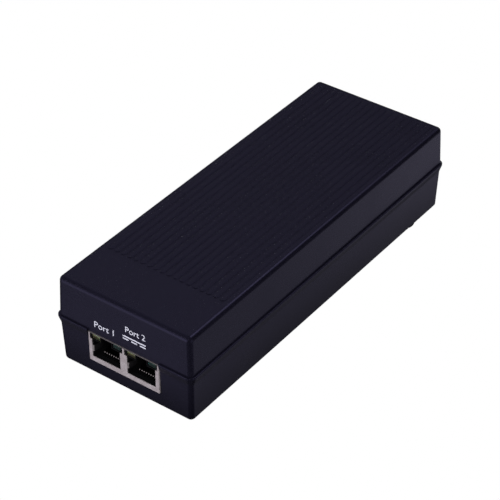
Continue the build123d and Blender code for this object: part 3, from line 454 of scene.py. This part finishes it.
def capped_fuse():
    """Glazed ceramic tube between two plated caps and wires."""
    s = Shader("fuse_ceramic")
    low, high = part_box("mains_fuse")
    along = s.math("ABSOLUTE", s.math("SUBTRACT", s.axis(1), (low.y + high.y) / 2))
    cloud = s.noise(1.2, detail=3.0)
    cap = s.ramp(along, (FUSE_TUBE - FUSE_EDGE) * MM, (FUSE_TUBE + FUSE_EDGE) * MM)
    glaze = s.mix(s.spread(cloud), (0.70, 0.67, 0.58), (0.82, 0.80, 0.74))
    plating = s.mix(s.spread(cloud), (0.52, 0.51, 0.49), (0.70, 0.69, 0.66))
    s.set(color=s.mix(cap, glaze, plating), metal=cap, rough=s.spread(cloud, 0.16, 0.3),
          normal=s.bump(cloud, 0.02, 0.3, s.bevel(0.15)))
    return s.material


def blank_label():
    """Satin silver film with a fine ruled frame and no words."""
    s = Shader("label_film")
    low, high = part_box("rating_label")
    fleck = s.noise(0.25, detail=4.0)
    sheen = s.noise(8.0, stretch=(1.0, 0.2, 1.0))
    inside_x = s.math("SUBTRACT", (high.x - low.x) / 2, s.math("ABSOLUTE", s.axis(0)))
    inside_y = s.math("SUBTRACT", (high.y - low.y) / 2, s.math("ABSOLUTE", s.axis(1)))
    edge = s.math("MINIMUM", inside_x, inside_y)
    off_line = s.math("ABSOLUTE", s.math("SUBTRACT", edge, FRAME_INSET * MM))
    line = s.ramp(off_line, (FRAME_LINE + FRAME_BLUR) * MM, (FRAME_LINE - FRAME_BLUR) * MM)
    silver = s.mix(s.spread(fleck), (0.36, 0.36, 0.37), (0.46, 0.46, 0.47))
    s.set(color=s.mix(line, silver, (0.03, 0.03, 0.035)), metal=0.4, coat=0.15, coat_rough=0.3,
          rough=s.spread(sheen, 0.36, 0.46), normal=s.bump(fleck, 0.01, 0.5, s.bevel(0.1)))
    return s.material


choke_low, choke_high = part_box("choke_core")
choke_middle = (choke_low + choke_high) / 2

dress(metal("screw_steel", (0.20, 0.20, 0.21), (0.34, 0.34, 0.35), rough=(0.3, 0.44)),
      "case_screws", "heat_sink_screws")
dress(blank_label(), "rating_label")
dress(metal("tinned_wire", TIN_DARK, TIN_LIGHT, grain_mm=0.3, stretch=(1.0, 1.0, 0.2)), "lamp_leads")
dress(moulded("inlet_plastic", (0.0085, 0.0085, 0.0095), (0.0125, 0.0125, 0.0135), rough=(0.34, 0.46),
              grain_mm=0.35, depth_mm=0.02, specular=0.3, edge_mm=0.25), "inlet_housing")
dress(metal("blade_nickel", (0.58, 0.57, 0.54), (0.74, 0.73, 0.70), rough=(0.14, 0.26),
            stretch=(1.0, 0.15, 1.0), edge_mm=0.2),
      "inlet_line_blade", "inlet_neutral_blade", "inlet_earth_blade")
dress(laminate(), "main_board")
dress(moulded("insulation_film", (0.58, 0.59, 0.57), (0.72, 0.73, 0.71), rough=(0.3, 0.42),
              grain_mm=0.6), "insulation_sheet")
dress(capped_fuse(), "mains_fuse")
dress(moulded("varistor_coating", (0.035, 0.13, 0.36), (0.055, 0.19, 0.46), rough=(0.3, 0.42),
              grain_mm=0.5, depth_mm=0.03, leads_mm=1.4), "surge_varistor")
dress(moulded("disc_coating", (0.08, 0.22, 0.50), (0.13, 0.31, 0.62), rough=(0.3, 0.42),
              grain_mm=0.5, depth_mm=0.03, leads_mm=1.4), "safety_capacitor")
dress(moulded("film_case", (0.66, 0.42, 0.03), (0.78, 0.54, 0.06), rough=(0.26, 0.36),
              grain_mm=0.4, leads_mm=0.3), "filter_capacitor")
dress(moulded("core_ferrite", (0.035, 0.035, 0.038), (0.07, 0.07, 0.075), rough=(0.42, 0.6),
              grain_mm=0.18, depth_mm=0.03, specular=0.5), "choke_core", "transformer_core")
dress(wound("winding_copper", (0.16, 0.045, 0.015), (0.72, 0.30, 0.12), choke_middle, WINDING_TURNS),
      "choke_windings")
dress(wrapped("winding_tape", (0.60, 0.44, 0.05), (0.76, 0.58, 0.09)), "transformer_windings")
dress(moulded("package_plastic", *BLACK_EPOXY, rough=(0.42, 0.58), grain_mm=0.2, depth_mm=0.015,
              leads_mm=0.12), "bridge_rectifier", "primary_switch", "output_rectifier",
      "signal_isolator", "switch_controller", "port_controller", "port_transformer")
dress(sleeved_can("can_sleeve"), "bulk_capacitor", "output_capacitors")
dress(moulded("choke_sleeve", (0.012, 0.012, 0.013), (0.022, 0.022, 0.023), rough=(0.24, 0.36),
              grain_mm=0.5, depth_mm=0.03, leads_mm=0.3, coat=0.2), "output_choke")
dress(metal("sink_aluminium", (0.60, 0.61, 0.62), (0.74, 0.75, 0.76), rough=(0.3, 0.44),
            stretch=(1.0, 0.12, 1.0)), "primary_heat_sink", "output_heat_sink")
dress(moulded("bobbin_plastic", (0.022, 0.021, 0.020), (0.036, 0.034, 0.032), rough=(0.4, 0.52),
              leads_mm=0.3), "transformer_bobbin")
dress(moulded("chip_ceramic", (0.30, 0.22, 0.14), (0.42, 0.33, 0.22), rough=(0.34, 0.46),
              grain_mm=0.3), "chip_components")


# ---------------------------------------------------------------- camera
# Lengths from here on are in metres, but for the sensor's width in mm.
AZIMUTH = math.radians(36.388)
ELEVATION = math.radians(37.26)
DISTANCE = 0.70414
FOCAL_RATIO = 3.7359                 # focal length over the picture's side
SENSOR_WIDTH = 36.0
CLIP_START, CLIP_END = 0.02, 20.0
AIM = Vector((0.0, 0.0, 0.0198))
AIM_SHIFT = (0.003908, 0.003926)     # the aim is this far right of and above the axis


def make_camera():
    """Camera that sees the object as the photograph does."""
    back = Vector((math.sin(AZIMUTH) * math.cos(ELEVATION),
                   -math.cos(AZIMUTH) * math.cos(ELEVATION), math.sin(ELEVATION)))
    right = Vector((math.cos(AZIMUTH), math.sin(AZIMUTH), 0.0))
    up = back.cross(right)
    data = bpy.data.cameras.new("camera")
    data.sensor_width = SENSOR_WIDTH
    data.lens = FOCAL_RATIO * SENSOR_WIDTH
    data.clip_start = CLIP_START
    data.clip_end = CLIP_END
    camera = bpy.data.objects.new("camera", data)
    camera.location = AIM + back * DISTANCE - right * AIM_SHIFT[0] - up * AIM_SHIFT[1]
    camera.rotation_mode = "QUATERNION"
    camera.rotation_quaternion = (-back).to_track_quat("-Z", "Y")
    scene.collection.objects.link(camera)
    scene.camera = camera


# ---------------------------------------------------------------- light
SOFTBOXES = {
    # name: (place, size, power in watts)
    "front_left": ((-0.9, -0.9, 0.5), (0.9, 0.7), 19),
    "fill": ((0.7, -0.9, 0.8), (0.8, 0.8), 18),
    "behind": ((-0.9, 1.1, 0.3), (0.9, 0.7), 38),
}
ROOM_GLOW = 0.02
ROOM_TINT = (0.88, 0.85, 1.06)
PANELS = [
    # (direction, inner and outer spread in degrees, strength), and where it is mirrored
    ((-0.50, -0.62, -0.60), 4, 20, 0.12),      # in the front face
    ((-0.469, -0.824, -0.317), 4, 20, 0.64),   # just below the front's top edge
    ((-0.30, -0.95, 0.05), 8, 26, 0.78),       # along the front's top edge
    ((0.33, 0.85, -0.40), 4, 19, 0.62),        # in the far end of the side
    ((0.56, 0.50, -0.66), 4, 20, 0.235),       # in the near end of the side
    ((-0.60, 0.34, 0.72), 8, 30, 0.16),        # in the near end of the top
    ((-0.51, 0.59, 0.62), 5, 20, 0.06),        # in the middle of the top
    ((-0.20, 0.645, 0.735), 5, 18, 0.15),      # in the ribs' right-hand slopes
    ((0.24, 0.50, 0.83), 4, 18, 1.9),          # along the side's top edge
    ((-0.50, -0.09, -0.86), 5, 20, 0.055),     # in the front's bead, below
    ((-0.01, 0.67, -0.74), 5, 20, 0.085),      # in the side's bead, below
    ((0.97, 0.0, -0.15), 8, 30, 0.30),         # beside the object, for the other views
    ((-0.97, 0.0, -0.15), 8, 30, 0.30),
]
PLANE_SIZE = 12
BENCH_DROP = 0.0005                  # the bench lies this far under the floor
BENCH_GREY = (0.3, 0.3, 0.3)
BACKDROP_RADIUS = 8.0
WHITE = (1.0, 1.0, 1.0)


def softbox(name, where, size, power):
    """Soft rectangular light that faces the object."""
    data = bpy.data.lights.new(name, "AREA")
    data.shape = "RECTANGLE"
    data.size, data.size_y = size
    data.energy = power
    light = bpy.data.objects.new(name, data)
    light.location = where
    light.rotation_euler = (-Vector(where)).to_track_quat("-Z", "Y").to_euler()
    light.visible_glossy = False
    scene.collection.objects.link(light)


def studio_world():
    """Dim room with soft pale panels."""
    world = bpy.data.worlds.new("studio")
    scene.world = world
    world.use_nodes = True
    tree = world.node_tree
    place = tree.nodes.new("ShaderNodeTexCoord").outputs["Generated"]
    total = ROOM_GLOW
    for direction, inner, outer, strength in PANELS:
        dot = tree.nodes.new("ShaderNodeVectorMath")
        dot.operation = "DOT_PRODUCT"
        tree.links.new(place, dot.inputs[0])
        dot.inputs[1].default_value = Vector(direction).normalized()
        ramp = tree.nodes.new("ShaderNodeMapRange")
        ramp.interpolation_type = "SMOOTHSTEP"
        tree.links.new(dot.outputs["Value"], ramp.inputs["Value"])
        ramp.inputs["From Min"].default_value = math.cos(math.radians(outer))
        ramp.inputs["From Max"].default_value = math.cos(math.radians(inner))
        ramp.inputs["To Max"].default_value = strength
        add = tree.nodes.new("ShaderNodeMath")
        tree.links.new(ramp.outputs["Result"], add.inputs[0])
        feed(tree, total, add.inputs[1])
        total = add.outputs[0]
    tree.links.new(total, tree.nodes["Background"].inputs["Strength"])
    tree.nodes["Background"].inputs["Color"].default_value = (*ROOM_TINT, 1.0)


def matt(name, color, glow):
    """Matt material that gives off some white light of its own."""
    s = Shader(name)
    s.set(color=color, rough=0.9, specular=0.0)
    s.surface.inputs["Emission Color"].default_value = (*WHITE, 1.0)
    s.surface.inputs["Emission Strength"].default_value = glow
    return s.material


def level_plane(name, height, color, glow):
    """Plane far wider than the view, never mirrored in the object."""
    bpy.ops.mesh.primitive_plane_add(size=PLANE_SIZE, location=(0.0, 0.0, height))
    plane = bpy.context.object
    plane.name = name
    plane.visible_glossy = False
    plane.data.materials.append(matt(name, color, glow))
    return plane


def backdrop():
    """White room round the object, seen by the camera alone."""
    bpy.ops.mesh.primitive_uv_sphere_add(segments=64, ring_count=32, radius=BACKDROP_RADIUS)
    room = bpy.context.object
    room.name = "backdrop"
    room.visible_glossy = False
    room.visible_diffuse = False
    room.visible_transmission = False
    room.visible_shadow = False
    room.data.materials.append(matt("backdrop", BLACK, glow=1.0))


def pale_floor():
    """White floor without a shadow, and below it a grey bench that the light comes back from."""
    floor = level_plane("floor", 0.0, BLACK, glow=1.0)
    floor.visible_diffuse = False
    floor.visible_shadow = False
    bench = level_plane("bench", -BENCH_DROP, BENCH_GREY, glow=0.0)
    bench.visible_camera = False


make_camera()
for name, (where, size, power) in SOFTBOXES.items():
    softbox(name, where, size, power)
studio_world()
backdrop()
pale_floor()
scene.view_settings.view_transform = "Standard"
